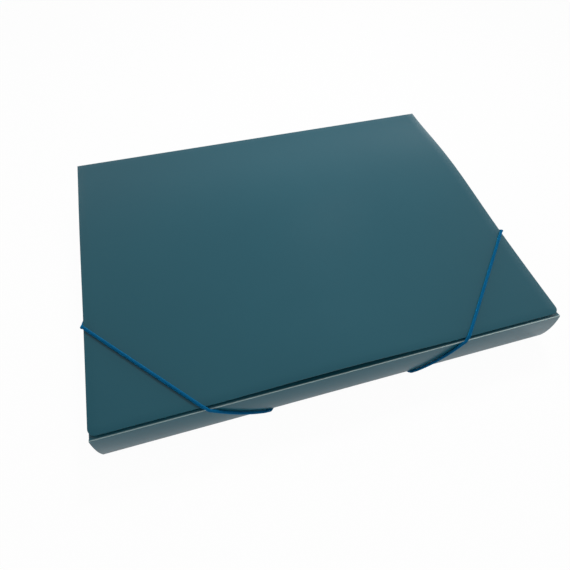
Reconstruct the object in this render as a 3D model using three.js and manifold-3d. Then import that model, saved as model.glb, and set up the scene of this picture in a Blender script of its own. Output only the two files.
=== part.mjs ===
// Elastic box file for A4 papers, folded from polypropylene sheet.
// Millimetres, +Z up. The long side runs along X, the front wall faces -Y and the spine faces +Y.
// The origin is under the middle of the box, on the surface that it stands on.

import * as THREE from "three";
import { mergeVertices } from "three/addons/utils/BufferGeometryUtils.js";
import Module from "manifold-3d";

const wasm = await Module();
wasm.setup();

// Outer size of the closed box
const WIDTH = 320;
const DEPTH = 242;
const WALL_HEIGHT = 28.5;

// Sheet and elastic cord
const SHEET = 0.7;
const CORD = 2;

// Clearance between pieces that touch each other, and the air under the closed cover
const GAP = 0.3;
const COVER_CLEARANCE = 2;

// Cover: how far it stops behind the front wall, its corner radius, how far it bows up, and how far
// the elastics pull it down and over what distance from them it comes up again
const COVER_SETBACK = 2;
const COVER_CORNER = 5;
const COVER_BOW_LEFT = 0.8;
const COVER_BOW_RIGHT = 3.4;
const COVER_BOW_SHIFT = 1.6;
const COVER_PULL = 1;
const COVER_PULL_REACH = 45;

// Walls: how far their middle bows outwards
const FRONT_BOW = 1.5;
const SIDE_BOW = 2;

// Inner flaps: reach over the papers, how much each end is cut back, and the corner radius
const FRONT_FLAP = 60;
const SIDE_FLAP = 55;
const FLAP_TAPER = 12;
const FLAP_CORNER = 8;

// Metal cord ends that lie across the punched holes
const FERRULE_DIAMETER = 2.6;
const FERRULE_LENGTH = 14;

// Elastics: where each one crosses the edges, measured along the edge from the cover's front corner,
// and the inset of its punched holes from the outside of the base
const HOLE_INSET = 12;
const LEFT_ELASTIC = {
  side: { hole: 123, bottom: 107, top: 75 },
  front: { hole: 124, bottom: 107, fold: 69.7, cover: 65 },
};
const RIGHT_ELASTIC = {
  side: { hole: 123, bottom: 107, top: 77 },
  front: { hole: 123, bottom: 107, fold: 77, cover: 72 },
};

// Facets
const WALL_STEPS = 10;
const COVER_STEPS_X = 10;
const COVER_STEPS_Y = 24;
const BEND_STEPS = 4;
const CORD_SIDES = 8;
const ROUND_STEPS = 8;

// Heights
const BASE_UNDER = CORD + GAP;
const BASE_TOP = BASE_UNDER + SHEET;
const FRONT_TOP = BASE_UNDER + WALL_HEIGHT;
const SIDE_TOP = FRONT_TOP - SHEET - GAP;
const COVER_UNDER = FRONT_TOP + COVER_CLEARANCE;
const COVER_TOP = COVER_UNDER + SHEET;

// Places along X and Y: the box with its elastics is centred on the origin
const SIDE_X = WIDTH / 2;
const CORD_LIFT = GAP + CORD / 2;
const BACK_Y = (DEPTH + FRONT_BOW + GAP + CORD) / 2;
const FRONT_Y = BACK_Y - DEPTH;
const COVER_FRONT_Y = FRONT_Y + COVER_SETBACK;
const TRAY_BACK_Y = BACK_Y - SHEET - GAP;
const SIDE_WALL_FRONT_Y = FRONT_Y + SHEET + GAP;

// Colours
const polypropylene = () => new THREE.MeshStandardMaterial({ color: 0x2a4b57, roughness: 0.4, metalness: 0 });
const elasticCord = () => new THREE.MeshStandardMaterial({ color: 0x075576, roughness: 0.8, metalness: 0 });
const nickelledSteel = () => new THREE.MeshStandardMaterial({ color: 0xb9bcc0, roughness: 0.3, metalness: 1 });

// Solids from closed meshes, and back
function toSolid(geometry) {
  const shape = geometry.clone();
  shape.deleteAttribute("normal");
  shape.deleteAttribute("uv");
  const merged = mergeVertices(shape, 1e-4);
  return new wasm.Manifold(new wasm.Mesh({
    numProp: 3,
    vertProperties: new Float32Array(merged.attributes.position.array),
    triVerts: new Uint32Array(merged.index.array),
  }));
}

function toGeometry(solid) {
  const mesh = solid.getMesh();
  const geometry = new THREE.BufferGeometry();
  geometry.setAttribute("position", new THREE.BufferAttribute(mesh.vertProperties, 3));
  geometry.setIndex(new THREE.BufferAttribute(mesh.triVerts, 1));
  geometry.computeVertexNormals();
  return geometry;
}

function named(name, geometry, material) {
  const mesh = new THREE.Mesh(geometry, material);
  mesh.name = name;
  return mesh;
}

// A flat sheet of the given outline, lying between two heights
function plate(outline, under, over) {
  const geometry = new THREE.ExtrudeGeometry(outline, {
    depth: over - under,
    bevelEnabled: false,
    curveSegments: ROUND_STEPS,
  });
  geometry.translate(0, 0, under);
  return geometry;
}

function rectangle(x0, x1, y0, y1) {
  const outline = new THREE.Shape();
  outline.moveTo(x0, y0);
  outline.lineTo(x1, y0);
  outline.lineTo(x1, y1);
  outline.lineTo(x0, y1);
  return outline;
}

// Outward bulge of a wall, as a share of its full bow, between its foot and its head
function bulge(z, head) {
  const t = (z - BASE_UNDER) / (head - BASE_UNDER);
  return 4 * t * (1 - t);
}

// A bowed wall: its section lies in XY with +X outwards and +Y up, and it is drawn out along Z
function wall(length, head, bow) {
  const section = new THREE.Shape();
  const heights = [];
  for (let i = 0; i <= WALL_STEPS; i += 1) {
    heights.push(BASE_UNDER + ((head - BASE_UNDER) * i) / WALL_STEPS);
  }
  section.moveTo(0, heights[0]);
  heights.slice(1).forEach((z) => section.lineTo(bow * bulge(z, head), z));
  heights.reverse().forEach((z) => section.lineTo(bow * bulge(z, head) - SHEET, z));
  return new THREE.ExtrudeGeometry(section, { depth: length, bevelEnabled: false });
}

// A flap that starts at a fold on the X axis and reaches towards +Y, with cut-back round ends
function flapOutline(length, reach) {
  const half = length / 2;
  const end = half - FLAP_TAPER;
  const slant = FLAP_CORNER * (FLAP_TAPER / reach);
  const outline = new THREE.Shape();
  outline.moveTo(-half, 0);
  outline.lineTo(half, 0);
  outline.lineTo(end + slant, reach - FLAP_CORNER);
  outline.quadraticCurveTo(end, reach, end - FLAP_CORNER, reach);
  outline.lineTo(-end + FLAP_CORNER, reach);
  outline.quadraticCurveTo(-end, reach, -end - slant, reach - FLAP_CORNER);
  return outline;
}

// Tray: base, front wall, two side walls and the three inner flaps, one folded sheet
function frontWall() {
  const geometry = wall(WIDTH, FRONT_TOP, FRONT_BOW);
  geometry.rotateX(Math.PI / 2);
  geometry.rotateZ(-Math.PI / 2);
  geometry.translate(SIDE_X, FRONT_Y, 0);
  return geometry;
}

function frontFlap() {
  const geometry = plate(flapOutline(WIDTH, FRONT_FLAP), FRONT_TOP - SHEET, FRONT_TOP);
  geometry.translate(0, FRONT_Y, 0);
  return geometry;
}

const SIDE_LENGTH = TRAY_BACK_Y - SIDE_WALL_FRONT_Y;

function rightWall() {
  const geometry = wall(SIDE_LENGTH, SIDE_TOP, SIDE_BOW);
  geometry.rotateX(Math.PI / 2);
  geometry.translate(SIDE_X, TRAY_BACK_Y, 0);
  return geometry;
}

function rightFlap() {
  const geometry = plate(flapOutline(SIDE_LENGTH, SIDE_FLAP), SIDE_TOP - SHEET, SIDE_TOP);
  geometry.rotateZ(Math.PI / 2);
  geometry.translate(SIDE_X, (SIDE_WALL_FRONT_Y + TRAY_BACK_Y) / 2, 0);
  return geometry;
}

// The left side is the right side turned about Z, moved back to the same place along Y
function turnedToLeft(geometry) {
  geometry.rotateZ(Math.PI);
  geometry.translate(0, SIDE_WALL_FRONT_Y + TRAY_BACK_Y, 0);
  return geometry;
}

// Where the two holes of an elastic are, on its own side of the box (-1 left, 1 right)
function holePlaces(elastic, side) {
  return [
    new THREE.Vector2(side * (SIDE_X - HOLE_INSET), COVER_FRONT_Y + elastic.side.hole),
    new THREE.Vector2(side * (SIDE_X - elastic.front.hole), FRONT_Y + HOLE_INSET),
  ];
}

function punch(place) {
  const geometry = new THREE.CylinderGeometry(CORD_LIFT, CORD_LIFT, 4 * SHEET, 2 * ROUND_STEPS);
  geometry.rotateX(Math.PI / 2);
  geometry.translate(place.x, place.y, BASE_UNDER + SHEET / 2);
  return geometry;
}

function tray() {
  const pieces = [
    plate(rectangle(-SIDE_X, SIDE_X, FRONT_Y, TRAY_BACK_Y), BASE_UNDER, BASE_TOP),
    frontWall(),
    frontFlap(),
    rightWall(),
    rightFlap(),
    turnedToLeft(rightWall()),
    turnedToLeft(rightFlap()),
  ];
  let solid = pieces.map(toSolid).reduce((sum, piece) => sum.add(piece));
  const places = [...holePlaces(LEFT_ELASTIC, -1), ...holePlaces(RIGHT_ELASTIC, 1)];
  places.forEach((place) => {
    solid = solid.subtract(toSolid(punch(place)));
  });
  return named("tray", toGeometry(solid), polypropylene());
}

// Spine: the flat back panel between its two creases
function spine() {
  const head = COVER_UNDER - GAP;
  const geometry = new THREE.BoxGeometry(WIDTH, SHEET, head - BASE_UNDER);
  const mesh = named("spine", geometry, polypropylene());
  mesh.position.set(0, BACK_Y - SHEET / 2, (BASE_UNDER + head) / 2);
  return mesh;
}

// How far an elastic pulls the cover down at a point: fully on the corner's side of its line over the
// cover, and less and less away from it
function coverPull(elastic, side, x, y) {
  const top = elastic.side.top;
  const front = elastic.front.cover;
  const across = SIDE_X - side * x;
  const along = y - COVER_FRONT_Y;
  const away = (across * top + along * front - top * front) / Math.hypot(top, front);
  return COVER_PULL * Math.exp(-((Math.max(away, 0) / COVER_PULL_REACH) ** 2));
}

// How far the cover bows up at a point: nothing at its front edge and at the spine, more on the right
function coverLift(x, y) {
  const t = Math.min(Math.max((y - COVER_FRONT_Y) / (BACK_Y - COVER_FRONT_Y), 0), 1);
  const share = Math.sin(Math.PI * t ** COVER_BOW_SHIFT) ** 2;
  const across = (x + SIDE_X) / WIDTH;
  const bow = share * (COVER_BOW_LEFT + (COVER_BOW_RIGHT - COVER_BOW_LEFT) * across);
  return bow - coverPull(LEFT_ELASTIC, -1, x, y) - coverPull(RIGHT_ELASTIC, 1, x, y);
}

// Cover: one bowed sheet with rounded front corners
function coverOutline() {
  const outline = new THREE.Shape();
  outline.moveTo(SIDE_X, BACK_Y);
  outline.lineTo(-SIDE_X, BACK_Y);
  outline.lineTo(-SIDE_X, COVER_FRONT_Y + COVER_CORNER);
  outline.absarc(-SIDE_X + COVER_CORNER, COVER_FRONT_Y + COVER_CORNER, COVER_CORNER, Math.PI, 1.5 * Math.PI);
  outline.absarc(SIDE_X - COVER_CORNER, COVER_FRONT_Y + COVER_CORNER, COVER_CORNER, 1.5 * Math.PI, 2 * Math.PI);
  return outline;
}

function cover() {
  const depth = BACK_Y - COVER_FRONT_Y;
  const sheet = new THREE.BoxGeometry(WIDTH, depth, SHEET, COVER_STEPS_X, COVER_STEPS_Y, 1);
  sheet.translate(0, (COVER_FRONT_Y + BACK_Y) / 2, (COVER_UNDER + COVER_TOP) / 2);
  const points = sheet.attributes.position;
  for (let i = 0; i < points.count; i += 1) {
    points.setZ(i, points.getZ(i) + coverLift(points.getX(i), points.getY(i)));
  }
  const tallest = COVER_TOP + Math.max(COVER_BOW_LEFT, COVER_BOW_RIGHT) + SHEET;
  const lowest = COVER_UNDER - 2 * COVER_PULL - SHEET;
  const trim = plate(coverOutline(), lowest, tallest);
  return named("cover", toGeometry(toSolid(sheet).intersect(toSolid(trim))), polypropylene());
}

// Elastics: each one leaves the base at a hole, runs under it to an edge, climbs the side wall,
// crosses the cover's corner, goes down the front wall and back under the base to its other hole.
// A half route is measured as distance outwards from a wall, distance along it, and height.
function mix(a, b, t) {
  return a + (b - a) * t;
}

// Points of the cord's centre line round an edge, between two angles counted up from outwards
function roundEdge(out, z, from, to) {
  const points = [];
  for (let i = 0; i <= BEND_STEPS; i += 1) {
    const angle = mix(from, to, i / BEND_STEPS);
    points.push({ out: out + CORD_LIFT * Math.cos(angle), z: z + CORD_LIFT * Math.sin(angle) });
  }
  return points;
}

// From a hole to the foot of a wall. The cord slants evenly all the way, also round the base's edge.
function underRun(crossing) {
  const bend = CORD_LIFT;
  const floor = BASE_UNDER - CORD_LIFT;
  const turn = bend * (Math.PI / 2);
  const points = [{ out: -HOLE_INSET, z: BASE_TOP, run: 0 }];
  for (let i = 0; i <= BEND_STEPS; i += 1) {
    const angle = (Math.PI / 2) * (i / BEND_STEPS);
    const run = bend * (1 - Math.cos(angle));
    points.push({ out: run - HOLE_INSET, z: floor + bend * (1 - Math.sin(angle)), run });
  }
  roundEdge(0, BASE_UNDER, -Math.PI / 2, 0).forEach((p, i) => {
    points.push({ ...p, run: HOLE_INSET + turn * (i / BEND_STEPS) });
  });
  return points.map((p) => ({ ...p, along: mix(crossing.hole, crossing.bottom, p.run / (HOLE_INSET + turn)) }));
}

function wallRun(head, bow) {
  const points = [];
  for (let i = 1; i < WALL_STEPS; i += 1) {
    const z = mix(BASE_UNDER, head, i / WALL_STEPS);
    points.push({ out: CORD_LIFT + bow * bulge(z, head), z });
  }
  return points;
}

function sideHalf(crossing, side) {
  const edgeZ = COVER_TOP + coverLift(side * SIDE_X, COVER_FRONT_Y + crossing.top);
  const climb = [...wallRun(SIDE_TOP, SIDE_BOW), ...roundEdge(0, edgeZ, 0, Math.PI / 2)];
  const placed = climb.map((p) => ({ ...p, along: mix(crossing.bottom, crossing.top, (p.z - BASE_UNDER) / (edgeZ - BASE_UNDER)) }));
  return [...underRun(crossing), ...placed].map((p) => new THREE.Vector3(
    side * (SIDE_X + p.out),
    COVER_FRONT_Y + p.along,
    p.z,
  ));
}

function frontHalf(crossing, side) {
  const edgeZ = COVER_TOP + coverLift(side * (SIDE_X - crossing.cover), COVER_FRONT_Y);
  const lean = Math.atan2(COVER_SETBACK, edgeZ - FRONT_TOP);
  const climb = wallRun(FRONT_TOP, FRONT_BOW);
  const fold = roundEdge(0, FRONT_TOP, 0, lean);
  const edge = roundEdge(-COVER_SETBACK, edgeZ, lean, Math.PI / 2);
  const placed = [
    ...climb.map((p) => ({ ...p, along: mix(crossing.bottom, crossing.fold, (p.z - BASE_UNDER) / WALL_HEIGHT) })),
    ...fold.map((p) => ({ ...p, along: crossing.fold })),
    ...edge.map((p) => ({ ...p, along: crossing.cover })),
  ];
  return [...underRun(crossing), ...placed].map((p) => new THREE.Vector3(
    side * (SIDE_X - p.along),
    FRONT_Y - p.out,
    p.z,
  ));
}

// A route that passes through each of its points in turn, one step from point to point
class Route extends THREE.Curve {
  constructor(points) {
    super();
    this.points = points;
  }

  getPoint(t) {
    const place = t * (this.points.length - 1);
    const i = Math.min(Math.floor(place), this.points.length - 2);
    return this.points[i].clone().lerp(this.points[i + 1], place - i);
  }

  getTangent(t) {
    const i = Math.round(t * (this.points.length - 1));
    const before = this.points[Math.max(i - 1, 0)];
    const after = this.points[Math.min(i + 1, this.points.length - 1)];
    return after.clone().sub(before).normalize();
  }

  getPointAt(u) {
    return this.getPoint(u);
  }

  getTangentAt(u) {
    return this.getTangent(u);
  }
}

function cordSection() {
  const section = new THREE.Shape();
  for (let i = 0; i < CORD_SIDES; i += 1) {
    const angle = (2 * Math.PI * (i + 0.5)) / CORD_SIDES;
    const x = (CORD / 2) * Math.cos(angle);
    const y = (CORD / 2) * Math.sin(angle);
    if (i === 0) {
      section.moveTo(x, y);
    } else {
      section.lineTo(x, y);
    }
  }
  return section;
}

function elastic(name, crossings, side) {
  const points = [...sideHalf(crossings.side, side), ...frontHalf(crossings.front, side).reverse()];
  const geometry = new THREE.ExtrudeGeometry(cordSection(), {
    steps: points.length - 1,
    extrudePath: new Route(points),
    bevelEnabled: false,
  });
  return named(name, geometry, elasticCord());
}

// Cord ends: a round-ended metal bar lies across each hole, inside the tray
function ferrule(name, place, turn) {
  const radius = FERRULE_DIAMETER / 2;
  const bar = new THREE.CapsuleGeometry(radius, FERRULE_LENGTH - FERRULE_DIAMETER, ROUND_STEPS / 2, 2 * ROUND_STEPS);
  const mesh = named(name, bar, nickelledSteel());
  mesh.rotation.z = turn;
  mesh.position.set(place.x, place.y, BASE_TOP + GAP + radius);
  return mesh;
}

const boxFile = new THREE.Group();
boxFile.add(tray(), spine(), cover());
[["left", LEFT_ELASTIC, -1], ["right", RIGHT_ELASTIC, 1]].forEach(([word, crossings, side]) => {
  const [sideHole, frontHole] = holePlaces(crossings, side);
  boxFile.add(
    elastic(`elastic_${word}`, crossings, side),
    ferrule(`ferrule_${word}_side`, sideHole, 0),
    ferrule(`ferrule_${word}_front`, frontHole, Math.PI / 2),
  );
});

export default boxFile;
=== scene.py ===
# %% [markdown]
# A closed elastic box file in dark teal plastic, seen from above its front wall. The real file is one
# sheet of polypropylene, cut and folded, with two elastic cords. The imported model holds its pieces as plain
# solids, so it is loaded first, and the pieces that are seen are made round it.

# %% Load the frame
import math

import bmesh
import bpy
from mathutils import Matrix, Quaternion, Vector


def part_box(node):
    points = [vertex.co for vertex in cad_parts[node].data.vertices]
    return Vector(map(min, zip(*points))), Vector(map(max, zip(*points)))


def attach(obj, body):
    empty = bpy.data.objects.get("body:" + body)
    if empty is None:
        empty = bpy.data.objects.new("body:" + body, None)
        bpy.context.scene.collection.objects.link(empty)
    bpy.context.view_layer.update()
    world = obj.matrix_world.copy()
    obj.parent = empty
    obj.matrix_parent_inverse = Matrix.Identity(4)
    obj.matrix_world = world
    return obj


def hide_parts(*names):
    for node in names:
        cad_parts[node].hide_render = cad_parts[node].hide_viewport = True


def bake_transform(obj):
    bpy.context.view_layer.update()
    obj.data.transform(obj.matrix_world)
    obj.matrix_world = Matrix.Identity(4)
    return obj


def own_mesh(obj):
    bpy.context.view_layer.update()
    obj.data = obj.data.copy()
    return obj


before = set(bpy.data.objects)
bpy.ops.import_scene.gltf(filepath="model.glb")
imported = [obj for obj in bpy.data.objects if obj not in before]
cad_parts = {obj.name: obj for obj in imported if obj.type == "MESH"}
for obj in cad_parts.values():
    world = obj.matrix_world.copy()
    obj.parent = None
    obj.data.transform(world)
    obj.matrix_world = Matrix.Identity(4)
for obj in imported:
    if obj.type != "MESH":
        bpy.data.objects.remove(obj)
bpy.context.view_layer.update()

MM = 0.001

# %% [markdown]
# The sizes that the pieces share. The sheet and the cord are stock thicknesses, and the height of the walls
# and how far they bow out were read from the photograph. GAP is the clearance that the model leaves
# between its pieces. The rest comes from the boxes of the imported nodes, so that a fold here lies on the
# fold of the model.

# %% Sizes from the frame
SHEET = 0.7 * MM
CORD = 2.0 * MM
GAP = 0.3 * MM
cover_low, cover_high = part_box("cover")
spine_low, spine_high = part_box("spine")
SIDE_X = cover_high.x
BACK_Y = spine_high.y
COVER_FRONT_Y = cover_low.y
COVER_SETBACK = 2.0 * MM
FRONT_Y = COVER_FRONT_Y - COVER_SETBACK
BASE_UNDER = spine_low.z
WALL_HEIGHT = 28.5 * MM
FRONT_TOP = BASE_UNDER + WALL_HEIGHT
SIDE_TOP = FRONT_TOP - SHEET - GAP
COVER_TOP = spine_high.z + GAP + SHEET
FRONT_BOW = 1.5 * MM
SIDE_BOW = 2.0 * MM
box_width = round(2 * SIDE_X / MM)
box_depth = round((BACK_Y - FRONT_Y) / MM)
print("box is", box_width, "by", box_depth, "mm, cover top at", round(COVER_TOP / MM, 2))

# %% [markdown]
# The camera comes first. It was set by fitting the edges of the real cover, which gives its place, the
# point it looks at, a slight roll and the focal length. A track quaternion aims a camera without a target
# object, and the roll is one more turn about its own axis.

# %% Camera
CAMERA_PLACE = Vector((-78.0, -215.5, 291.9)) * MM
CAMERA_AIM = Vector((-21.0, -44.9, 33.5)) * MM
CAMERA_ROLL = math.radians(2.79)
FOCAL_PIXELS = 438.7
IMAGE_PIXELS = 570
SENSOR = 36.0
camera_data = bpy.data.cameras.new("camera")
camera_data.sensor_width = SENSOR
camera_data.lens = SENSOR * FOCAL_PIXELS / IMAGE_PIXELS
camera_data.clip_start = 10 * MM
camera = bpy.data.objects.new("camera", camera_data)
bpy.context.collection.objects.link(camera)
aim = (CAMERA_AIM - CAMERA_PLACE).to_track_quat("-Z", "Y")
camera.rotation_mode = "QUATERNION"
camera.rotation_quaternion = aim @ Quaternion((0, 0, 1), CAMERA_ROLL)
camera.location = CAMERA_PLACE
bpy.context.scene.camera = camera
print("lens", round(camera_data.lens, 2), "mm")

# %% [markdown]
# Small helpers for modelling by operators. An operator works on all that is selected, so everything is
# deselected first, and the points or edges are then picked by where their middle lies.

# %% Selecting
CLOSE = 0.05 * MM


def only(piece):
    """Makes this the one selected and active object."""
    bpy.ops.object.select_all(action="DESELECT")
    piece.select_set(True)
    bpy.context.view_layer.objects.active = piece


def pick(piece, kind, test):
    """In edit mode: selects only the vertices or edges whose middle passes the test."""
    bpy.ops.mesh.select_mode(type=kind)
    bpy.ops.mesh.select_all(action="DESELECT")
    mesh = bmesh.from_edit_mesh(piece.data)
    found = 0
    for item in mesh.verts if kind == "VERT" else mesh.edges:
        points = [item.co] if kind == "VERT" else [corner.co for corner in item.verts]
        middle = sum(points, Vector()) / len(points)
        if test(middle):
            item.select = True
            found += 1
    mesh.select_flush_mode()
    bmesh.update_edit_mesh(piece.data)
    return found


def pull(steps):
    """In edit mode: extrudes what is selected once for each step."""
    for step in steps:
        bpy.ops.mesh.extrude_region_move(TRANSFORM_OT_translate={"value": tuple(step)})


def near(a, b):
    """Whether two places are the same, give or take a twentieth of a millimetre."""
    return abs(a - b) < CLOSE


# %% [markdown]
# A sheet could be modelled as a thin box, but then both sides of every fold have to be shaped. It is drawn
# as its outer skin instead, one face thick, and then given its thickness inwards by Solidify. Before that
# the skin has to face outwards everywhere, because the thickness goes to its back.

# %% Giving a skin its thickness
CUT_EDGE_RADIUS = 0.12 * MM
CUT_EDGE_ANGLE = math.radians(60)
SHEET_SMOOTH_ANGLE = math.radians(35)


def finish_modifier(piece, name, kind, **settings):
    """Adds a modifier with its settings and applies it at once."""
    modifier = piece.modifiers.new(name, kind)
    for key, value in settings.items():
        setattr(modifier, key, value)
    only(piece)
    bpy.ops.object.modifier_apply(modifier=name)


def thicken(piece):
    """Gives a skin the sheet's thickness behind it and takes the sharpness off its cut edges."""
    finish_modifier(piece, "sheet", "SOLIDIFY", thickness=SHEET, offset=-1.0, use_even_offset=True)
    finish_modifier(
        piece, "cut edge", "BEVEL", width=CUT_EDGE_RADIUS, segments=2,
        limit_method="ANGLE", angle_limit=CUT_EDGE_ANGLE,
    )
    only(piece)
    bpy.ops.object.shade_smooth_by_angle(angle=SHEET_SMOOTH_ANGLE)


def report(piece):
    """Prints what the piece has come to."""
    piece.data.update()
    size = [round(length / MM, 1) for length in piece.dimensions]
    print(piece.name, "has", len(piece.data.polygons), "faces, size in mm", size)


# %% [markdown]
# Each elastic is held by two holes in the base and crosses five edges on its way over the corner. The
# numbers say how far from the cover's front corner it crosses each one, in millimetres. They come before
# the cover, because a stretched elastic also pulls the cover down.

# %% Where the elastics cross the edges
LEFT = {
    "side": {"hole": 123.0, "bottom": 107.0, "top": 75.0},
    "front": {"hole": 124.0, "bottom": 107.0, "fold": 71.3, "cover": 66.3},
}
RIGHT = {
    "side": {"hole": 123.0, "bottom": 107.0, "top": 78.0},
    "front": {"hole": 123.0, "bottom": 107.0, "fold": 77.7, "cover": 72.5},
}
ELASTICS = {"left": (LEFT, -1.0), "right": (RIGHT, 1.0)}
for word, (elastic, side) in ELASTICS.items():
    span = math.hypot(elastic["side"]["top"], elastic["front"]["cover"])
    print("the", word, "elastic lies on the cover for", round(span), "mm")

# %% [markdown]
# The cover is a single sheet that bows up behind its middle, more on the right, where use has pushed it
# up, and the elastics hold its front corners down by a millimetre. One formula gives that height at any
# point, the same one that the model uses. Two things too fine for the model are added: a slight ripple,
# and a slight arch of the free front edge between the elastics, which widens the dark gap under it.

# %% Form of the cover
COVER_BOW_LEFT = 0.8 * MM
COVER_BOW_RIGHT = 3.4 * MM
# Above 1, the top of the bow lies behind the cover's middle.
COVER_BOW_SHIFT = 1.6
COVER_PULL = 1.0 * MM
COVER_PULL_REACH = 45.0 * MM
EDGE_ARCH = 1.7 * MM
EDGE_ARCH_DEPTH = 35.0 * MM
RIPPLE = 0.12 * MM
RIPPLE_ACROSS = 38.0 * MM
RIPPLE_BACK = 31.0 * MM
RIPPLE_SKEW = 2.0
RIPPLE_START = 0.7


def mix(a, b, t):
    """The value at the share t of the way from a to b."""
    return a + (b - a) * t


def cover_pull(elastic, side, x, y):
    """How far an elastic pulls the cover down: fully in the corner it cuts off, and less behind it."""
    top = elastic["side"]["top"] * MM
    front = elastic["front"]["cover"] * MM
    beyond = (SIDE_X - side * x) * top + (y - COVER_FRONT_Y) * front - top * front
    away = beyond / math.hypot(top, front)
    return COVER_PULL * math.exp(-(max(away, 0.0) / COVER_PULL_REACH) ** 2)


def cover_lift(x, y):
    """How far the cover stands above its flat place at a point."""
    t = min(max((y - COVER_FRONT_Y) / (BACK_Y - COVER_FRONT_Y), 0.0), 1.0)
    share = math.sin(math.pi * t ** COVER_BOW_SHIFT) ** 2
    bow = share * mix(COVER_BOW_LEFT, COVER_BOW_RIGHT, (x + SIDE_X) / (2 * SIDE_X))
    return bow - sum(cover_pull(elastic, side, x, y) for elastic, side in ELASTICS.values())


def edge_arch(x, y):
    """The free front edge rises a little between the two elastics."""
    left = LEFT["front"]["cover"] * MM - SIDE_X
    right = SIDE_X - RIGHT["front"]["cover"] * MM
    if not left < x < right:
        return 0.0
    across = math.sin(math.pi * (x - left) / (right - left)) ** 2
    return EDGE_ARCH * across * math.exp(-((y - COVER_FRONT_Y) / EDGE_ARCH_DEPTH) ** 2)


def ripple(x, y):
    """The slight unevenness of a thin sheet, none at its front edge and its crease."""
    t = (y - COVER_FRONT_Y) / (BACK_Y - COVER_FRONT_Y)
    wave = math.sin(x / RIPPLE_ACROSS + RIPPLE_SKEW * t) * math.sin(y / RIPPLE_BACK + RIPPLE_START)
    return RIPPLE * wave * math.sin(math.pi * min(max(t, 0.0), 1.0))


depths = [mix(COVER_FRONT_Y, BACK_Y, t) for t in (0.0, 0.25, 0.5, 0.65, 0.8)]
for name, x in (("left", -SIDE_X), ("middle", 0.0), ("right", SIDE_X)):
    heights = [round(cover_lift(x, y) / MM, 1) for y in depths]
    print("lift of the cover at its", name, "from front to back:", heights, "mm")

# %% [markdown]
# The sheet could be a box with a curve modifier, but a grid whose points are lifted by the formula keeps
# even faces for smooth shading. Its back edge is then extruded round the spine's crease, so that the fold
# is one unbroken sheet, as on the real file.

# %% Cover
COVER_CELLS = 40
COVER_CORNER = 5.0 * MM
CORNER_STEPS = 8
CREASE_RADIUS = 0.8 * MM
CREASE_STEPS = 8
SPINE_SEAM = 1.2 * MM


def turn_steps(radius, start, end, count):
    """The steps along an arc in the YZ plane, between two angles counted from +Y towards +Z."""
    steps = []
    for i in range(count):
        a = start + (end - start) * i / count
        b = start + (end - start) * (i + 1) / count
        steps.append((0.0, radius * (math.cos(b) - math.cos(a)), radius * (math.sin(b) - math.sin(a))))
    return steps


def raised(x, y):
    """The whole height of the visible sheet above its flat place."""
    return cover_lift(x, y) + edge_arch(x, y) + ripple(x, y)


def make_cover():
    depth = BACK_Y - CREASE_RADIUS - COVER_FRONT_Y
    bpy.ops.object.select_all(action="DESELECT")
    bpy.ops.mesh.primitive_grid_add(x_subdivisions=COVER_CELLS, y_subdivisions=COVER_CELLS, size=1.0)
    piece = bpy.context.object
    piece.name = "cover_sheet"
    bpy.ops.object.mode_set(mode="EDIT")
    bpy.ops.transform.resize(value=(2 * SIDE_X, depth, 1.0))
    bpy.ops.transform.translate(value=(0.0, COVER_FRONT_Y + depth / 2, COVER_TOP))
    pick(piece, "VERT", lambda m: near(abs(m.x), SIDE_X) and near(m.y, COVER_FRONT_Y))
    bpy.ops.mesh.bevel(
        affect="VERTICES", offset=COVER_CORNER, segments=CORNER_STEPS, clamp_overlap=False,
    )
    mesh = bmesh.from_edit_mesh(piece.data)
    lifts = {vertex: raised(*vertex.co.xy) for vertex in mesh.verts}
    # Nothing may lift the sheet above the model's highest point.
    share = (cover_high.z - COVER_TOP) / max(lifts.values())
    for vertex, lift in lifts.items():
        vertex.co.z += min(lift, lift * share)
    bmesh.update_edit_mesh(piece.data)
    pick(piece, "EDGE", lambda m: near(m.y, BACK_Y - CREASE_RADIUS))
    pull(turn_steps(CREASE_RADIUS, math.pi / 2, 0.0, CREASE_STEPS))
    pull([(0.0, 0.0, -SPINE_SEAM)])
    bpy.ops.object.mode_set(mode="OBJECT")
    thicken(piece)
    return piece


cover_sheet = make_cover()
report(cover_sheet)

# %% [markdown]
# The spine is the flat back panel. A plain box would do for the panel itself, but its creases would show as
# open joints. So it is a grid stood upright, and its lower edge is extruded round the second crease into
# the base, in the same way as the cover turns into the spine.

# %% Spine
SPINE_TOP = COVER_TOP - CREASE_RADIUS - SPINE_SEAM
BASE_SEAM_Y = BACK_Y - CREASE_RADIUS - SPINE_SEAM


def make_spine():
    foot = BASE_UNDER + CREASE_RADIUS
    height = SPINE_TOP - BASE_UNDER - CREASE_RADIUS
    bpy.ops.object.select_all(action="DESELECT")
    bpy.ops.mesh.primitive_grid_add(x_subdivisions=8, y_subdivisions=4, size=1.0)
    piece = bpy.context.object
    piece.name = "spine_sheet"
    bpy.ops.object.mode_set(mode="EDIT")
    mesh = bmesh.from_edit_mesh(piece.data)
    for vertex in mesh.verts:
        vertex.co = Vector((-2 * SIDE_X * vertex.co.x, BACK_Y, foot + height * (vertex.co.y + 0.5)))
    bmesh.update_edit_mesh(piece.data)
    pick(piece, "EDGE", lambda m: near(m.z, foot))
    pull(turn_steps(CREASE_RADIUS, 0.0, -math.pi / 2, CREASE_STEPS))
    pull([(0.0, -SPINE_SEAM, 0.0)])
    bpy.ops.object.mode_set(mode="OBJECT")
    thicken(piece)
    return piece


spine_sheet = make_spine()
report(spine_sheet)

# %% [markdown]
# The tray is folded here as it is folded in the factory: the base is a flat sheet, its edges are extruded
# up as walls that bow out, and the tops of the walls are extruded inwards as flaps. It could be joined from
# one box for each panel, but one folded skin has no seams, and its folds are rounded in a single bevel. Two
# cuts close beside the front fold keep what is marked on it later from spreading over the wall and the flap.

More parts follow.
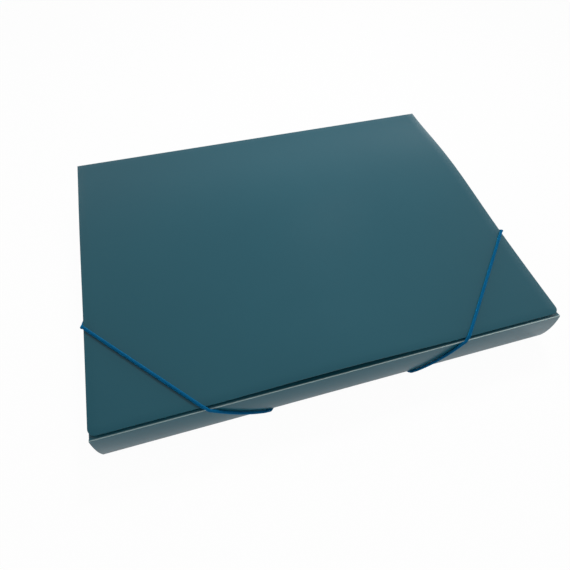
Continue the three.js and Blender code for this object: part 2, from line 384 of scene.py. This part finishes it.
# %% Tray
WALL_STEPS = 12
FOLD_RADIUS = 0.8 * MM
FOLD_LOOP = 0.1 * MM
CORNER_RELIEF = 1.6 * MM
FRONT_FLAP = 60.0 * MM
SIDE_FLAP = 55.0 * MM
FLAP_TAPER = 12.0 * MM
FLAP_CORNER = 8.0 * MM


def wall_steps(head, bow, outwards):
    """The steps up a wall from the base's underside to its head, along a shallow arch that bows out."""
    steps = []
    height = head - BASE_UNDER
    for i in range(WALL_STEPS):
        a = i / WALL_STEPS
        b = (i + 1) / WALL_STEPS
        out = 4 * bow * (b * (1 - b) - a * (1 - a))
        steps.append(outwards * out + Vector((0.0, 0.0, height / WALL_STEPS)))
    return steps


def fold_wall(piece, test, head, bow, outwards, reach, along):
    """Extrudes a wall and its flap from the base's edges, then tapers the flap's free edge."""
    pick(piece, "EDGE", test)
    pull(wall_steps(head, bow, outwards))
    pull([outwards * -reach])
    mesh = bmesh.from_edit_mesh(piece.data)
    free = [vertex for vertex in mesh.verts if vertex.select]
    middle = sum((vertex.co for vertex in free), Vector()) / len(free)
    half = max(abs((vertex.co - middle).dot(along)) for vertex in free)
    for vertex in free:
        share = (vertex.co - middle).dot(along) / half
        vertex.co -= along * share * FLAP_TAPER
        # Only the flap's two corners stay selected, and are rounded.
        vertex.select = abs(share) > 0.999
    mesh.select_flush_mode()
    bmesh.update_edit_mesh(piece.data)
    bpy.ops.mesh.select_mode(type="VERT")
    bpy.ops.mesh.bevel(affect="VERTICES", offset=FLAP_CORNER, segments=6, clamp_overlap=False)


def is_fold(m):
    """Picks the middles of the edges that are folded: round the base and along the tops of the walls."""
    front = near(m.y, FRONT_Y) and (near(m.z, BASE_UNDER) or near(m.z, FRONT_TOP))
    behind = m.y > FRONT_Y + CORNER_RELIEF
    side = behind and near(abs(m.x), SIDE_X) and (near(m.z, BASE_UNDER) or near(m.z, SIDE_TOP))
    return front or side


def make_tray():
    depth = BASE_SEAM_Y - FRONT_Y
    bpy.ops.object.select_all(action="DESELECT")
    bpy.ops.mesh.primitive_plane_add(size=1.0)
    piece = bpy.context.object
    piece.name = "tray_sheet"
    bpy.ops.object.mode_set(mode="EDIT")
    bpy.ops.mesh.flip_normals()
    bpy.ops.transform.resize(value=(2 * SIDE_X, depth, 1.0))
    bpy.ops.transform.translate(value=(0.0, FRONT_Y + depth / 2, BASE_UNDER))
    bpy.ops.mesh.bisect(plane_co=(0.0, FRONT_Y + CORNER_RELIEF, 0.0), plane_no=(0.0, 1.0, 0.0))
    fold_wall(
        piece, lambda m: near(m.y, FRONT_Y), FRONT_TOP, FRONT_BOW,
        Vector((0.0, -1.0, 0.0)), FRONT_FLAP, Vector((1.0, 0.0, 0.0)),
    )
    for side in (-1.0, 1.0):
        fold_wall(
            piece,
            lambda m: near(m.x, side * SIDE_X) and near(m.z, BASE_UNDER) and m.y > FRONT_Y + CORNER_RELIEF,
            SIDE_TOP, SIDE_BOW, Vector((side, 0.0, 0.0)), SIDE_FLAP, Vector((0.0, 1.0, 0.0)),
        )
    print("folds:", pick(piece, "EDGE", is_fold))
    bpy.ops.mesh.bevel(affect="EDGES", offset=FOLD_RADIUS, segments=4, clamp_overlap=False)
    beside = FOLD_RADIUS + FOLD_LOOP
    bpy.ops.mesh.select_all(action="SELECT")
    bpy.ops.mesh.bisect(plane_co=(0.0, FRONT_Y + beside, 0.0), plane_no=(0.0, 1.0, 0.0))
    bpy.ops.mesh.select_all(action="SELECT")
    bpy.ops.mesh.bisect(plane_co=(0.0, 0.0, FRONT_TOP - beside), plane_no=(0.0, 0.0, 1.0))
    bpy.ops.object.mode_set(mode="OBJECT")
    return piece


tray_sheet = make_tray()
report(tray_sheet)

# %% [markdown]
# The holes for the elastics are punched through the thickened base. They could be drawn into its faces, but
# the base is one large face, and a boolean with a cylinder as its punch cuts a round hole anywhere. Each
# hole lies where the elastic's slant down the wall, carried on under the base, has reached the inset of
# the holes.

# %% Holes
HOLE_INSET = 12.0 * MM
HOLE_RADIUS = CORD / 2 + GAP
ROUND_SIDES = 24


def hole_places(elastic, side):
    """The middles of an elastic's two holes, at the underside of the base."""
    back = COVER_FRONT_Y + elastic["side"]["hole"] * MM
    along = SIDE_X - elastic["front"]["hole"] * MM
    return {
        "side": Vector((side * (SIDE_X - HOLE_INSET), back, BASE_UNDER)),
        "front": Vector((side * along, FRONT_Y + HOLE_INSET, BASE_UNDER)),
    }


def punch(piece, place):
    """Cuts a round hole with a cylinder, which is thrown away afterwards."""
    bpy.ops.object.select_all(action="DESELECT")
    bpy.ops.mesh.primitive_cylinder_add(
        vertices=ROUND_SIDES, radius=HOLE_RADIUS, depth=6 * SHEET, location=place,
    )
    tool = bpy.context.object
    finish_modifier(piece, "hole", "BOOLEAN", operation="DIFFERENCE", solver="EXACT", object=tool)
    bpy.data.objects.remove(tool, do_unlink=True)


thicken(tray_sheet)
for elastic, side in ELASTICS.values():
    for place in hole_places(elastic, side).values():
        punch(tray_sheet, place)
report(tray_sheet)

# %% [markdown]
# Each elastic is a round cord with a braided cover. It leaves a hole in the base, runs under it to an
# edge, climbs the wall, crosses the corner of the cover and goes down the next wall to its second hole. A
# curve with a round bevel would give a smooth tube. The braid is part of the shape, so the tube is made
# ring by ring along a route instead, and the route is worked out first, one stretch after another.

# %% Route up to a wall
BEND_STEPS = 8
CLIMB_STEPS = 24
SEAT_GAP = 0.04 * MM
SEAT = CORD / 2 + SEAT_GAP
UNDER_LIFT = CORD / 2 + GAP


def bend(out, z, start, end, radius):
    """Points round an edge as (out, z), between two angles counted up from outwards."""
    angles = [mix(start, end, i / BEND_STEPS) for i in range(BEND_STEPS + 1)]
    return [(out + radius * math.cos(a), z + radius * math.sin(a)) for a in angles]


def under_run(crossing):
    """Up in the hole, down and out under the base, and round its edge, as (out, along, z)."""
    turn = UNDER_LIFT * math.pi / 2
    # Each point here is its way out from the wall, its height and its run along the base.
    points = [(-HOLE_INSET, BASE_UNDER + SHEET, 0.0)]
    # Down out of the hole.
    for i in range(BEND_STEPS + 1):
        a = math.pi / 2 * i / BEND_STEPS
        run = UNDER_LIFT * (1 - math.cos(a))
        points.append((run - HOLE_INSET, BASE_UNDER - UNDER_LIFT * math.sin(a), run))
    # Round the fold between base and wall.
    for i in range(BEND_STEPS + 1):
        a = math.pi / 2 * i / BEND_STEPS
        out = (FOLD_RADIUS + SEAT) * math.sin(a) - FOLD_RADIUS
        z = BASE_UNDER + FOLD_RADIUS - (FOLD_RADIUS + UNDER_LIFT) * math.cos(a)
        points.append((out, z, HOLE_INSET + turn * i / BEND_STEPS))
    placed = []
    for out, z, run in points:
        along = mix(crossing["hole"], crossing["bottom"], run / (HOLE_INSET + turn))
        placed.append((out, along * MM, z))
    return placed


inset = round(HOLE_INSET / MM)
for word, (elastic, side) in ELASTICS.items():
    shift = elastic["side"]["hole"] - elastic["side"]["bottom"]
    print("the", word, "elastic slants by", shift, "mm over its", inset, "mm under the base")

# %% [markdown]
# On a wall the cord follows the bow. Over the side edge it makes one quarter turn. At the front it first
# turns over the folded edge of the wall, spans the step to the cover's cut edge, and turns again there.

# %% Route over the corner
# The slant goes on a little past the side edge, and over each bend at the front by some millimetres.
OVERSHOOT = 1.03
FOLD_SLANT = 1.6
COVER_SLANT = 1.0


def bulge(z, head):
    """How far a wall bows out at a height, from 0 at its foot and head to 1 in the middle."""
    t = (z - BASE_UNDER) / (head - BASE_UNDER)
    return 4 * t * (1 - t)


def climb(head, bow):
    """Points up a wall as (out, z). The bend round its foot takes the place of the first two."""
    heights = [mix(BASE_UNDER, head, i / CLIMB_STEPS) for i in range(2, CLIMB_STEPS)]
    return [(SEAT + bow * bulge(z, head), z) for z in heights]


def side_half(crossing, side):
    """From the hole at the side up over the cover's side edge."""
    edge_y = COVER_FRONT_Y + crossing["top"] * MM
    edge_z = COVER_TOP + cover_lift(side * SIDE_X, edge_y)
    points = under_run(crossing)
    for out, z in climb(SIDE_TOP, SIDE_BOW) + bend(0.0, edge_z, 0.0, math.pi / 2, SEAT):
        share = min((z - BASE_UNDER) / (edge_z - BASE_UNDER), OVERSHOOT)
        points.append((out, mix(crossing["bottom"], crossing["top"], share) * MM, z))
    return [Vector((side * (SIDE_X + out), COVER_FRONT_Y + along, z)) for out, along, z in points]


def front_half(crossing, side):
    """From the hole at the front up over the wall's folded edge and the cover's front edge."""
    fold = crossing["fold"]
    cover = crossing["cover"]
    edge_z = COVER_TOP + cover_lift(side * (SIDE_X - cover * MM), COVER_FRONT_Y)
    lean = math.atan2(COVER_SETBACK, edge_z - FRONT_TOP)
    points = under_run(crossing)
    for out, z in climb(FRONT_TOP, FRONT_BOW):
        points.append((out, mix(crossing["bottom"], fold, (z - BASE_UNDER) / WALL_HEIGHT) * MM, z))
    for i, (out, z) in enumerate(bend(0.0, FRONT_TOP, 0.0, lean, SEAT)):
        points.append((out, mix(fold, fold - FOLD_SLANT, i / BEND_STEPS) * MM, z))
    for i, (out, z) in enumerate(bend(-COVER_SETBACK, edge_z, lean, math.pi / 2, SEAT)):
        points.append((out, mix(cover + COVER_SLANT, cover, i / BEND_STEPS) * MM, z))
    return [Vector((side * (SIDE_X - along), FRONT_Y - out, z)) for out, along, z in points]


for word, (elastic, side) in ELASTICS.items():
    side_end = side_half(elastic["side"], side)[-1]
    front_end = front_half(elastic["front"], side)[-1]
    heights = [round(point.z / MM, 1) for point in (side_end, front_end)]
    print("the", word, "elastic comes over the cover's edges at", heights, "mm")

# %% [markdown]
# The two halves are joined on the cover. The corners of that line are eased, as a stretched cord eases
# them, and the line is then cut into even steps, so that the rings of the mesh are evenly spaced.

# %% Even steps along the route
EASE_ROUNDS = 2
EASE_REACH = 4.0 * MM
RING_SPACING = 0.28 * MM


def smooth_route(points, spacing):
    """The points of the route at an even spacing, after its corners have been eased a little."""
    for _ in range(EASE_ROUNDS):
        eased = [points[0]]
        for before, here, after in zip(points, points[1:], points[2:]):
            close = (after - before).length < EASE_REACH
            eased.append(here * 0.5 + (before + after) * 0.25 if close else here)
        points = eased + [points[-1]]
    lengths = [0.0]
    for a, b in zip(points, points[1:]):
        lengths.append(lengths[-1] + (b - a).length)
    count = round(lengths[-1] / spacing)
    route = []
    k = 0
    for i in range(count + 1):
        goal = lengths[-1] * i / count
        while k < len(points) - 2 and lengths[k + 1] < goal:
            k += 1
        t = (goal - lengths[k]) / max(lengths[k + 1] - lengths[k], 1e-9)
        route.append(points[k].lerp(points[k + 1], t))
    return route, lengths[-1]


routes = {}
for word, (elastic, side) in ELASTICS.items():
    halves = side_half(elastic["side"], side) + list(reversed(front_half(elastic["front"], side)))
    routes[word], length = smooth_route(halves, RING_SPACING)
    print("elastic", word, "is", round(length / MM), "mm along its route of", len(routes[word]), "points")

# %% [markdown]
# The braid is a relief of two sets of spirals that cross, which leaves small diamonds. A bump in the
# material could draw it, but then the cord's outline would stay smooth. Every ring has to know which of
# its points comes first. That direction is carried from ring to ring by the smallest turn, so the tube
# doesn't twist. Each face also notes its place on a map, millimetres along the cord and the share of a
# turn round it, so that the fibres drawn later follow the cord.

# %% Cord mesh
BRAID_PITCH = 1.1 * MM
BRAID_TURNS = 6
BRAID_DEPTH = 0.05 * MM
CORD_SIDES = 28


def braid_relief(length, turn):
    """Height of the braid's yarns at a point, from 0 to 1: two sets of crossing spirals."""
    along = 2 * math.pi * length / BRAID_PITCH
    one = math.cos(along + BRAID_TURNS * turn)
    other = math.cos(along - BRAID_TURNS * turn)
    return 0.5 + 0.5 * max(one, other)


def make_cord(name, route):
    """A closed tube round the route, with the braid's relief and its map."""
    mesh = bmesh.new()
    map_layer = mesh.loops.layers.uv.new("braid")
    rings = []
    tangent = (route[1] - route[0]).normalized()
    normal = tangent.orthogonal().normalized()
    for i, place in enumerate(route):
        ahead = (route[min(i + 1, len(route) - 1)] - route[max(i - 1, 0)]).normalized()
        normal = (tangent.rotation_difference(ahead) @ normal).normalized()
        tangent = ahead
        across = tangent.cross(normal)
        ring = []
        for k in range(CORD_SIDES):
            turn = 2 * math.pi * k / CORD_SIDES
            radius = CORD / 2 - BRAID_DEPTH * (1 - braid_relief(i * RING_SPACING, turn))
            outwards = normal * math.cos(turn) + across * math.sin(turn)
            ring.append(mesh.verts.new(place + radius * outwards))
        rings.append(ring)
    for i, (a, b) in enumerate(zip(rings, rings[1:])):
        for k in range(CORD_SIDES):
            n = (k + 1) % CORD_SIDES
            face = mesh.faces.new((a[k], a[n], b[n], b[k]))
            face.smooth = True
            corners = ((i, k), (i, k + 1), (i + 1, k + 1), (i + 1, k))
            for loop, (row, column) in zip(face.loops, corners):
                loop[map_layer].uv = (row * RING_SPACING / MM, column / CORD_SIDES)
    mesh.faces.new(list(reversed(rings[0])))
    mesh.faces.new(rings[-1])
    data = bpy.data.meshes.new(name)
    mesh.to_mesh(data)
    mesh.free()
    piece = bpy.data.objects.new(name, data)
    bpy.context.collection.objects.link(piece)
    return piece


cords = {}
for word, route in routes.items():
    cords[word] = make_cord("elastic_cord_" + word, route)
    report(cords[word])

# %% [markdown]
# A metal end is crimped on each end of a cord and lies across its hole, inside the tray. It is a short
# nickelled tube with round ends and a waist where the tool pressed it. It could be stacked up from cones,
# but one mesh has no seams: a cylinder is cut into bands by bisecting it, and its rings are scaled one by
# one.

# %% Cord ends
FERRULE_DIAMETER = 2.6 * MM
FERRULE_LENGTH = 14.0 * MM
# Each ring's place along the end, as a share of its length, and how wide it is left.
FERRULE_BANDS = ((-0.42, 1.0), (-0.2, 1.0), (-0.11, 0.74), (0.11, 0.74), (0.2, 1.0), (0.42, 1.0))
TIP_SHARE = 0.55
TIP_ROUNDING = 0.3 * MM
TIP_ROUND_ANGLE = math.radians(15)
FERRULE_SMOOTH_ANGLE = math.radians(50)


def make_ferrule(name, place, along_x):
    """An end is modelled along Z at the origin, and its finished mesh is then laid at its place."""
    bpy.ops.object.select_all(action="DESELECT")
    bpy.ops.mesh.primitive_cylinder_add(
        vertices=ROUND_SIDES, radius=FERRULE_DIAMETER / 2, depth=FERRULE_LENGTH,
    )
    piece = bpy.context.object
    piece.name = name
    bpy.ops.object.mode_set(mode="EDIT")
    for height, scale in FERRULE_BANDS:
        z = height * FERRULE_LENGTH
        bpy.ops.mesh.select_all(action="SELECT")
        bpy.ops.mesh.bisect(plane_co=(0.0, 0.0, z), plane_no=(0.0, 0.0, 1.0))
        pick(piece, "VERT", lambda m: near(m.z, z))
        bpy.ops.transform.resize(value=(scale, scale, 1.0))
    pick(piece, "VERT", lambda m: abs(m.z) > 0.49 * FERRULE_LENGTH)
    bpy.ops.transform.resize(value=(TIP_SHARE, TIP_SHARE, 1.0))
    bpy.ops.object.mode_set(mode="OBJECT")
    finish_modifier(
        piece, "soft edges", "BEVEL", width=TIP_ROUNDING, segments=3, angle_limit=TIP_ROUND_ANGLE,
    )
    bpy.ops.object.shade_smooth_by_angle(angle=FERRULE_SMOOTH_ANGLE)
    piece.rotation_euler = (0.0, math.pi / 2, 0.0) if along_x else (math.pi / 2, 0.0, 0.0)
    piece.location = place
    bpy.ops.object.transform_apply(location=True, rotation=True, scale=True)
    return piece


ferrules = {}
for word, (elastic, side) in ELASTICS.items():
    for end, place in hole_places(elastic, side).items():
        node = f"ferrule_{word}_{end}"
        seat = place + Vector((0.0, 0.0, SHEET + GAP + FERRULE_DIAMETER / 2))
        ferrules[node] = make_ferrule(f"cord_end_{word}_{end}", seat, end == "front")
print(len(ferrules), "cord ends")

# %% [markdown]
# Materials are built from nodes in code. One function turns a screen colour into the linear values that
# Blender works in, and one adds a node with its settings and links.

# %% Material helpers
def linear(hex_colour):
    """A screen colour such as 2A4B57 as linear red, green, blue and alpha."""
    values = []
    for i in (0, 2, 4):
        v = int(hex_colour[i:i + 2], 16) / 255
        values.append(v / 12.92 if v <= 0.04045 else ((v + 0.055) / 1.055) ** 2.4)
    return (*values, 1.0)


def node(tree, kind, settings=None, **inputs):
    """Adds a node. Settings are its attributes. Inputs go by their label, or by i and their number, and
    each is a value or the socket to link from."""
    new = tree.nodes.new(kind)
    for key, value in (settings or {}).items():
        setattr(new, key, value)
    for key, value in inputs.items():
        if key[0] == "i" and key[1:].isdigit():
            socket = new.inputs[int(key[1:])]
        else:
            socket = new.inputs[key.replace("_", " ")]
        if isinstance(value, bpy.types.NodeSocket):
            tree.links.new(value, socket)
        else:
            socket.default_value = value
    return new


def new_material(name):
    """A material with an empty node tree."""
    material = bpy.data.materials.new(name)
    material.use_nodes = True
    material.node_tree.nodes.clear()
    return material, material.node_tree


def describe(material):
    """Prints what the material has come to."""
    print(material.name, "has", len(material.node_tree.nodes), "nodes")


def dress(piece, material):
    """Puts a material on a piece."""
    piece.data.materials.clear()
    piece.data.materials.append(material)


# %% [markdown]
# The sheet is polypropylene, extruded and run over a matt roller, so it has a satin shine with a very fine
# even grain. The shine is what greys the front wall, where it mirrors the pale floor. A little slow
# unevenness in the shine keeps a large flat panel from looking like paper. Where the sheet is folded, the
# plastic is stretched and turns paler. The thin pale line along the crease is that whitening plus a painted
# highlight of the crest.

# %% Polypropylene sheet
PP_COLOUR = "1A5A69"
PP_DEEP = "185665"
# The colour of the pale line on the front fold: stress whitening plus a painted highlight of the crest.
PP_PALE_AND_HIGHLIGHT = "D6ECE8"
PP_IOR = 1.49
PP_SMOOTHEST = 0.285
PP_ROUGHEST = 0.325
# The roller's grain is about 0.1 mm on the real sheet. It is drawn coarser, so that some of it shows.
GRAIN = 0.35 * MM
GRAIN_DEPTH = 0.02 * MM
CLOUDS = 60.0 * MM


def make_polypropylene():
    material, tree = new_material("satin extruded polypropylene")
    place = node(tree, "ShaderNodeTexCoord").outputs["Object"]
    grain = node(tree, "ShaderNodeTexNoise", Vector=place, Scale=1 / GRAIN, Detail=2.0, Roughness=0.5)
    clouds = node(tree, "ShaderNodeTexNoise", Vector=place, Scale=1 / CLOUDS, Detail=3.0, Roughness=0.5)
    tint = node(
        tree, "ShaderNodeMixRGB",
        Fac=clouds.outputs["Fac"], Color1=linear(PP_DEEP), Color2=linear(PP_COLOUR),
    )
    # The fold attribute mixes in the pale line: stress whitening plus a painted highlight of the crest.
    fold = node(tree, "ShaderNodeAttribute", {"attribute_name": "fold"})
    pale_line_and_highlight = node(
        tree, "ShaderNodeMixRGB",
        Fac=fold.outputs["Fac"], Color1=tint.outputs["Color"], Color2=linear(PP_PALE_AND_HIGHLIGHT),
    )
    shine = node(
        tree, "ShaderNodeMapRange",
        Value=clouds.outputs["Fac"], From_Min=0.3, From_Max=0.7, To_Min=PP_SMOOTHEST, To_Max=PP_ROUGHEST,
    )
    relief = node(
        tree, "ShaderNodeBump", Height=grain.outputs["Fac"], Strength=0.25, Distance=GRAIN_DEPTH,
    )
    surface = node(
        tree, "ShaderNodeBsdfPrincipled",
        Base_Color=pale_line_and_highlight.outputs["Color"], Roughness=shine.outputs["Result"], IOR=PP_IOR,
        Normal=relief.outputs["Normal"],
    )
    node(tree, "ShaderNodeOutputMaterial", Surface=surface.outputs["BSDF"])
    return material


polypropylene = make_polypropylene()
describe(polypropylene)

# %% [markdown]
# The pale line of a fold is stress whitening plus a painted highlight of the crest. It could be painted on a
# texture, but it only has to know how near a point is to the crest. So it is stored on the mesh as an
# attribute, one value for each point: 1 on the crest of the front fold and 0 away from it. The shader reads
# it, and the line follows the fold at any pose.

# %% Marking the folds
# The pale line sits where the crest catches the light: stress whitening plus a painted highlight. Its dimmer
# left end is painted shade.
BRIGHTEST_TURN = 46.0
BRIGHT_SPREAD = 22.0
PAINTED_LIGHT_AT_LEFT = 0.6


def mark_folds(piece, share):
    """Stores how pale each point of the sheet is painted: stress whitening plus a painted highlight."""
    values = [share(point.co) for point in piece.data.vertices]
    layer = piece.data.attributes.new("fold", "FLOAT", "POINT")
    layer.data.foreach_set("value", values)
    print(piece.name, "has", sum(value > 0 for value in values), "points on folds")


def tray_fold(point):
    """Painted pale line and highlight: most along the crest of the front fold, dimmed at its left end as
    painted shade, and nothing beside it.
    """
    out = FRONT_Y + FOLD_RADIUS - point.y
    rise = point.z - FRONT_TOP + FOLD_RADIUS
    on_curve = out > 0.0 and rise > 0.0 and near(math.hypot(out, rise), FOLD_RADIUS)
    if not on_curve:
        return 0.0
    turned = math.degrees(math.atan2(rise, out))
    # Painted shade: the line is dimmer towards the left end.
    painted_light_share = min(1.0, mix(PAINTED_LIGHT_AT_LEFT, 1.0, (point.x + SIDE_X) / SIDE_X))
    return painted_light_share * min(max(1.5 - abs(turned - BRIGHTEST_TURN) / BRIGHT_SPREAD, 0.0), 1.0)


mark_folds(tray_sheet, tray_fold)
mark_folds(cover_sheet, lambda point: 0.0)
mark_folds(spine_sheet, lambda point: 0.0)
for sheet in (tray_sheet, cover_sheet, spine_sheet):
    dress(sheet, polypropylene)

# %% [markdown]
# The cord's cover is braided polyester, dyed a brighter blue than the plastic. Yarn scatters light and
# has a soft sheen at its edges. The diamonds of the braid are in the mesh, and the shader only varies the
# blue and the relief along fine fibres.

# %% Braided elastic
BRAID_DEEP = "01385A"
BRAID_BRIGHT = "0570A4"
BRAID_SHEEN = "00BCFF"
# Real fibres are about 0.02 mm thick. They are drawn coarser, so that some of them show. The braid's map
# counts in millimetres along the cord and in turns round it.
FIBRE = 0.12
FIBRES_ROUND = 30.0
FIBRE_DEPTH = 0.03 * MM


def make_braid():
    material, tree = new_material("braided polyester elastic")
    place = node(tree, "ShaderNodeUVMap", {"uv_map": "braid"}).outputs["UV"]
    stretched = node(tree, "ShaderNodeMapping", Vector=place, Scale=(1 / FIBRE, FIBRES_ROUND, 1.0))
    fibres = node(tree, "ShaderNodeTexNoise", Vector=stretched.outputs["Vector"], Scale=1.0, Detail=2.0)
    colour = node(
        tree, "ShaderNodeMixRGB",
        Fac=fibres.outputs["Fac"], Color1=linear(BRAID_DEEP), Color2=linear(BRAID_BRIGHT),
    )
    relief = node(
        tree, "ShaderNodeBump", Height=fibres.outputs["Fac"], Strength=0.4, Distance=FIBRE_DEPTH,
    )
    surface = node(
        tree, "ShaderNodeBsdfPrincipled",
        Base_Color=colour.outputs["Color"], Roughness=0.9, Specular_IOR_Level=0.1,
        Sheen_Weight=1.0, Sheen_Roughness=0.35, Sheen_Tint=linear(BRAID_SHEEN),
        Normal=relief.outputs["Normal"],
    )
    node(tree, "ShaderNodeOutputMaterial", Surface=surface.outputs["BSDF"])
    return material


braid = make_braid()
describe(braid)
for cord in cords.values():
    dress(cord, braid)

# %% [markdown]
# The cord ends are steel with a bright nickel plate. A metal's colour is its reflection, so it gets the
# nickel's slightly warm grey, full metallic and a low roughness, with faint marks from the crimping.

# %% Nickelled steel
NICKEL = "C3BFB6"
NICKEL_SMOOTHEST = 0.18
NICKEL_ROUGHEST = 0.34
CRIMP_MARK = 0.6 * MM


def make_nickel():
    material, tree = new_material("nickel plated steel")
    place = node(tree, "ShaderNodeTexCoord").outputs["Object"]
    marks = node(tree, "ShaderNodeTexNoise", Vector=place, Scale=1 / CRIMP_MARK, Detail=3.0)
    shine = node(
        tree, "ShaderNodeMapRange",
        Value=marks.outputs["Fac"], From_Min=0.3, From_Max=0.7,
        To_Min=NICKEL_SMOOTHEST, To_Max=NICKEL_ROUGHEST,
    )
    surface = node(
        tree, "ShaderNodeBsdfPrincipled",
        Base_Color=linear(NICKEL), Metallic=1.0, Roughness=shine.outputs["Result"],
    )
    node(tree, "ShaderNodeOutputMaterial", Surface=surface.outputs["BSDF"])
    return material


nickel = make_nickel()
describe(nickel)
for ferrule in ferrules.values():
    dress(ferrule, nickel)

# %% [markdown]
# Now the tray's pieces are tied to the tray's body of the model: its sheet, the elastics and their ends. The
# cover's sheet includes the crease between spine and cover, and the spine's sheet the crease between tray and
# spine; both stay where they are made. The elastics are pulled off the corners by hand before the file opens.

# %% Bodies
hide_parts("cover")
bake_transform(cover_sheet)
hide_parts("spine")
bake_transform(spine_sheet)
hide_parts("tray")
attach(tray_sheet, "tray")
for word, cord in cords.items():
    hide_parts("elastic_" + word)
    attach(cord, "tray")
    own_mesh(cord)
for name, ferrule in ferrules.items():
    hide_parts(name)
    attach(ferrule, "tray")
print("bent across a crease:", cover_sheet.name, "and", spine_sheet.name)
print("riding on the tray:", 1 + len(cords) + len(ferrules), "pieces")

# %% [markdown]
# The file lies on a plain white floor. That could be lit until it clips to white, but then the file would
# be bleached as well. Light Path shows the floor at a strength of 1 to the camera and in reflections
# instead, mixed with a share of its real shaded colour, so the file keeps its shadow. Less of the white
# goes into reflections, because the front wall would turn too pale with all of it.

# %% Floor
FLOOR_SEEN_WHITE = 0.97
FLOOR_MIRRORED_WHITE = 0.48
FLOOR_COLOUR = "F0F0F0"
FLOOR_SIZE = 12.0


def shown_share(tree):
    """The share of plain white: high for camera rays, lower in reflections and through glass, else 0."""
    path = node(tree, "ShaderNodeLightPath")
    seen = node(
        tree, "ShaderNodeMath", {"operation": "MULTIPLY"},
        i0=path.outputs["Is Camera Ray"], i1=FLOOR_SEEN_WHITE,
    )
    either = node(
        tree, "ShaderNodeMath", {"operation": "MAXIMUM"},
        i0=path.outputs["Is Glossy Ray"], i1=path.outputs["Is Transmission Ray"],
    )
    mirrored = node(
        tree, "ShaderNodeMath", {"operation": "MULTIPLY"}, i0=either.outputs[0], i1=FLOOR_MIRRORED_WHITE,
    )
    return node(
        tree, "ShaderNodeMath", {"operation": "MAXIMUM"}, i0=seen.outputs[0], i1=mirrored.outputs[0],
    ).outputs[0]


def make_floor():
    bpy.ops.object.select_all(action="DESELECT")
    bpy.ops.mesh.primitive_plane_add(size=FLOOR_SIZE, location=(0.0, 0.0, 0.0))
    floor = bpy.context.object
    floor.name = "floor"
    material, tree = new_material("white floor")
    matt = node(tree, "ShaderNodeBsdfDiffuse", Color=linear(FLOOR_COLOUR))
    white = node(tree, "ShaderNodeEmission", Color=(1.0, 1.0, 1.0, 1.0), Strength=1.0)
    both = node(
        tree, "ShaderNodeMixShader",
        Fac=shown_share(tree), i1=matt.outputs["BSDF"], i2=white.outputs["Emission"],
    )
    node(tree, "ShaderNodeOutputMaterial", Surface=both.outputs["Shader"])
    floor.data.materials.append(material)
    print("floor's share of plain white:", FLOOR_SEEN_WHITE, "seen,", FLOOR_MIRRORED_WHITE, "mirrored")


make_floor()

# %% [markdown]
# The light comes from high behind the right end, as the thin shadows on the near left of the cords show. A
# soft lamp with a grid on it makes most of it, and the grid lets it fade towards the near left corner. The
# lamp is kept out of reflections, where it would draw a bright spot that the real file doesn't show.

# %% Key light
KEY_TURN = math.radians(28)
KEY_RISE = math.radians(53)
KEY_DISTANCE = 1.4
KEY_SIZE = 0.3
KEY_SPREAD = math.radians(40)
KEY_POWER = 0.68
KEY_AIM = Vector((0.05, 0.09, 0.0))


def way_to(turn, rise):
    """The direction that is turned from +Y towards +X, and then raised."""
    return Vector((math.cos(rise) * math.sin(turn), math.cos(rise) * math.cos(turn), math.sin(rise)))


KEY_WAY = way_to(KEY_TURN, KEY_RISE)


def make_key():
    data = bpy.data.lights.new("key", "AREA")
    data.shape = "DISK"
    data.size = KEY_SIZE
    data.energy = KEY_POWER
    data.spread = KEY_SPREAD
    light = bpy.data.objects.new("key", data)
    bpy.context.collection.objects.link(light)
    light.location = KEY_AIM + KEY_DISTANCE * KEY_WAY
    light.rotation_mode = "QUATERNION"
    light.rotation_quaternion = (-KEY_WAY).to_track_quat("-Z", "Y")
    light.visible_glossy = False
    print("key light at", [round(value, 2) for value in light.location], "m")


make_key()

# %% [markdown]
# The world is the studio round the lamp: dim overhead, brighter down by the floor, and with a wide soft
# glow on the lamp's side, which is what the satin cover mirrors. A picture of a room could stand there, but
# a few nodes are enough for soft light. A direction's Z is its height, and its dot product with the glow's
# middle says how near to that it is. The camera sees plain white wherever it looks past the floor.

# %% World
CEILING = 0.08
HORIZON = 3.6
HORIZON_FALL = 6.0
GLOW = 0.48
GLOW_RISE = math.radians(43)


def make_world():
    world = bpy.data.worlds.new("studio")
    bpy.context.scene.world = world
    world.use_nodes = True
    tree = world.node_tree
    tree.nodes.clear()
    way = node(tree, "ShaderNodeTexCoord").outputs["Generated"]
    height = node(tree, "ShaderNodeSeparateXYZ", Vector=way).outputs["Z"]
    depth = node(tree, "ShaderNodeMath", {"operation": "SUBTRACT", "use_clamp": True}, i0=1.0, i1=height)
    fall = node(tree, "ShaderNodeMath", {"operation": "POWER"}, i0=depth.outputs[0], i1=HORIZON_FALL)
    walls = node(tree, "ShaderNodeMapRange", Value=fall.outputs[0], To_Min=CEILING, To_Max=HORIZON)
    glow_way = way_to(KEY_TURN, GLOW_RISE)
    toward = node(tree, "ShaderNodeVectorMath", {"operation": "DOT_PRODUCT"}, i0=way, i1=glow_way)
    glow = node(tree, "ShaderNodeMapRange", Value=toward.outputs["Value"], To_Min=0.0, To_Max=GLOW)
    both = node(
        tree, "ShaderNodeMath", {"operation": "ADD"},
        i0=walls.outputs["Result"], i1=glow.outputs["Result"],
    )
    path = node(tree, "ShaderNodeLightPath")
    seen = node(
        tree, "ShaderNodeMath", {"operation": "MAXIMUM"},
        i0=both.outputs[0], i1=path.outputs["Is Camera Ray"],
    )
    light = node(tree, "ShaderNodeBackground", Color=(1.0, 1.0, 1.0, 1.0), Strength=seen.outputs[0])
    node(tree, "ShaderNodeOutputWorld", Surface=light.outputs["Background"])
    print("studio:", HORIZON, "at the horizon,", CEILING, "overhead,", GLOW, "more towards the lamp")


make_world()

# %% [markdown]
# Last, the colours are shown as they are written, without a film look over them.

# %% Finish
bpy.context.scene.view_settings.view_transform = "Standard"
